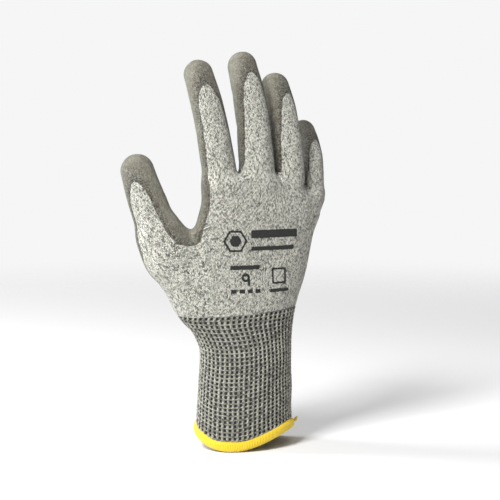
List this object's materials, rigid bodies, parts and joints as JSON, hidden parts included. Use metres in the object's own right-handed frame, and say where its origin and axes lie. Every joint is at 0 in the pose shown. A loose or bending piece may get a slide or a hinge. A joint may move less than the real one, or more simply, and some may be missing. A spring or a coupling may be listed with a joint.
{
  "type": "cut resistant glove",
  "caption": "Palm-coated cut resistant work glove for a right hand, with a knitted back, bending fingers and a long ribbed cuff with an overlocked hem.",
  "frame": {"origin": "centre of the wrist opening, in the plane of the lowest point of the hem", "axes": "+Z from the cuff towards the fingers, +Y out of the palm, -X towards the thumb"},
  "size_m": [0.1388, 0.0634, 0.2497],
  "materials": {
    "liner_knit": "fine heathered grey knit",
    "rib_knit": "ribbed knit in light grey and near-black columns",
    "coating": "semi-matte dipped foam coating",
    "elastic_yarn": "covered elastic yarn",
    "hem_yarn": "bright yellow overlock stitching",
    "print_ink": "matte heat-transfer print"
  },
  "bodies": {
    "cuff": {"rib_cuff": "rib_knit", "cuff_coating": "coating", "cuff_elastic": "elastic_yarn", "overlock_hem": "hem_yarn", "hem_tail": "hem_yarn"},
    "hand": {"wrist_rib": "rib_knit", "hand_liner": "liner_knit", "palm_coating": "coating", "size_print": "print_ink"},
    "index_proximal": {"index_root_fold": "liner_knit", "index_proximal_liner": "liner_knit", "index_proximal_coating": "coating"},
    "index_middle": {"index_knuckle_fold": "liner_knit", "index_middle_liner": "liner_knit", "index_middle_coating": "coating"},
    "index_tip": {"index_end_fold": "liner_knit", "index_tip_liner": "liner_knit", "index_tip_coating": "coating"},
    "middle_proximal": {"middle_root_fold": "liner_knit", "middle_proximal_liner": "liner_knit", "middle_proximal_coating": "coating"},
    "middle_middle": {"middle_knuckle_fold": "liner_knit", "middle_middle_liner": "liner_knit", "middle_middle_coating": "coating"},
    "middle_tip": {"middle_end_fold": "liner_knit", "middle_tip_liner": "liner_knit", "middle_tip_coating": "coating"},
    "ring_proximal": {"ring_root_fold": "liner_knit", "ring_proximal_liner": "liner_knit", "ring_proximal_coating": "coating"},
    "ring_middle": {"ring_knuckle_fold": "liner_knit", "ring_middle_liner": "liner_knit", "ring_middle_coating": "coating"},
    "ring_tip": {"ring_end_fold": "liner_knit", "ring_tip_liner": "liner_knit", "ring_tip_coating": "coating"},
    "little_proximal": {"little_root_fold": "liner_knit", "little_proximal_liner": "liner_knit", "little_proximal_coating": "coating"},
    "little_middle": {"little_knuckle_fold": "liner_knit", "little_middle_liner": "liner_knit", "little_middle_coating": "coating"},
    "little_tip": {"little_end_fold": "liner_knit", "little_tip_liner": "liner_knit", "little_tip_coating": "coating"},
    "thumb_proximal": {"thumb_root_fold": "liner_knit", "thumb_proximal_liner": "liner_knit", "thumb_proximal_coating": "coating"},
    "thumb_tip": {"thumb_end_fold": "liner_knit", "thumb_tip_liner": "liner_knit", "thumb_tip_coating": "coating"}
  },
  "joints": [
    {"name": "wrist_flex", "type": "hinge", "parent": "cuff", "child": "hand", "pos_m": [-0.002, 0, 0.08], "axis": [-1, 0, 0], "range_deg": [-40, 50], "deforming": ["wrist_rib"]},
    {"name": "index_root_flex", "type": "hinge", "parent": "hand", "child": "index_proximal", "pos_m": [-0.01717, 0.00341, 0.17774], "axis": [-1, 0, 0], "range_deg": [-20, 65], "deforming": ["index_root_fold"]},
    {"name": "index_knuckle_flex", "type": "hinge", "parent": "index_proximal", "child": "index_middle", "pos_m": [-0.01954, 0.00631, 0.19842], "axis": [-1, 0, 0], "range_deg": [-10, 75], "deforming": ["index_knuckle_fold"]},
    {"name": "index_tip_flex", "type": "hinge", "parent": "index_middle", "child": "index_tip", "pos_m": [-0.0219, 0.01204, 0.21843], "axis": [-1, 0, 0], "range_deg": [-10, 40], "deforming": ["index_end_fold"]},
    {"name": "middle_root_flex", "type": "hinge", "parent": "hand", "child": "middle_proximal", "pos_m": [0.00711, -0.0013, 0.17959], "axis": [-1, 0, 0], "range_deg": [-20, 62], "deforming": ["middle_root_fold"]},
    {"name": "middle_knuckle_flex", "type": "hinge", "parent": "middle_proximal", "child": "middle_middle", "pos_m": [0.00751, 0.00426, 0.20191], "axis": [-1, 0, 0], "range_deg": [-10, 72], "deforming": ["middle_knuckle_fold"]},
    {"name": "middle_tip_flex", "type": "hinge", "parent": "middle_middle", "child": "middle_tip", "pos_m": [0.00792, 0.01287, 0.22321], "axis": [-1, 0, 0], "range_deg": [-10, 38], "deforming": ["middle_end_fold"]},
    {"name": "ring_root_flex", "type": "hinge", "parent": "hand", "child": "ring_proximal", "pos_m": [0.03001, 0.00059, 0.17552], "axis": [-1, 0, 0], "range_deg": [-20, 60], "deforming": ["ring_root_fold"]},
    {"name": "ring_knuckle_flex", "type": "hinge", "parent": "ring_proximal", "child": "ring_middle", "pos_m": [0.0311, 0.00621, 0.19515], "axis": [-1, 0, 0], "range_deg": [-10, 70], "deforming": ["ring_knuckle_fold"]},
    {"name": "ring_tip_flex", "type": "hinge", "parent": "ring_middle", "child": "ring_tip", "pos_m": [0.03219, 0.01547, 0.21331], "axis": [-1, 0, 0], "range_deg": [-10, 37], "deforming": ["ring_end_fold"]},
    {"name": "little_root_flex", "type": "hinge", "parent": "hand", "child": "little_proximal", "pos_m": [0.04979, 0.00721, 0.16508], "axis": [-1, 0, 0], "range_deg": [-20, 50], "deforming": ["little_root_fold"]},
    {"name": "little_knuckle_flex", "type": "hinge", "parent": "little_proximal", "child": "little_middle", "pos_m": [0.05256, 0.01355, 0.17807], "axis": [-1, 0, 0], "range_deg": [-10, 68], "deforming": ["little_knuckle_fold"]},
    {"name": "little_tip_flex", "type": "hinge", "parent": "little_middle", "child": "little_tip", "pos_m": [0.05532, 0.02287, 0.18918], "axis": [-1, 0, 0], "range_deg": [-10, 36], "deforming": ["little_end_fold"]},
    {"name": "thumb_root_flex", "type": "hinge", "parent": "hand", "child": "thumb_proximal", "pos_m": [-0.05358, 0.01178, 0.13854], "axis": [-0.7104, 0.5961, -0.3741], "range_deg": [-15, 26], "deforming": ["thumb_root_fold"]},
    {"name": "thumb_tip_flex", "type": "hinge", "parent": "thumb_proximal", "child": "thumb_tip", "pos_m": [-0.05856, 0.01765, 0.15734], "axis": [-0.7104, 0.5961, -0.3741], "range_deg": [-15, 38], "deforming": ["thumb_end_fold"]}
  ]
}
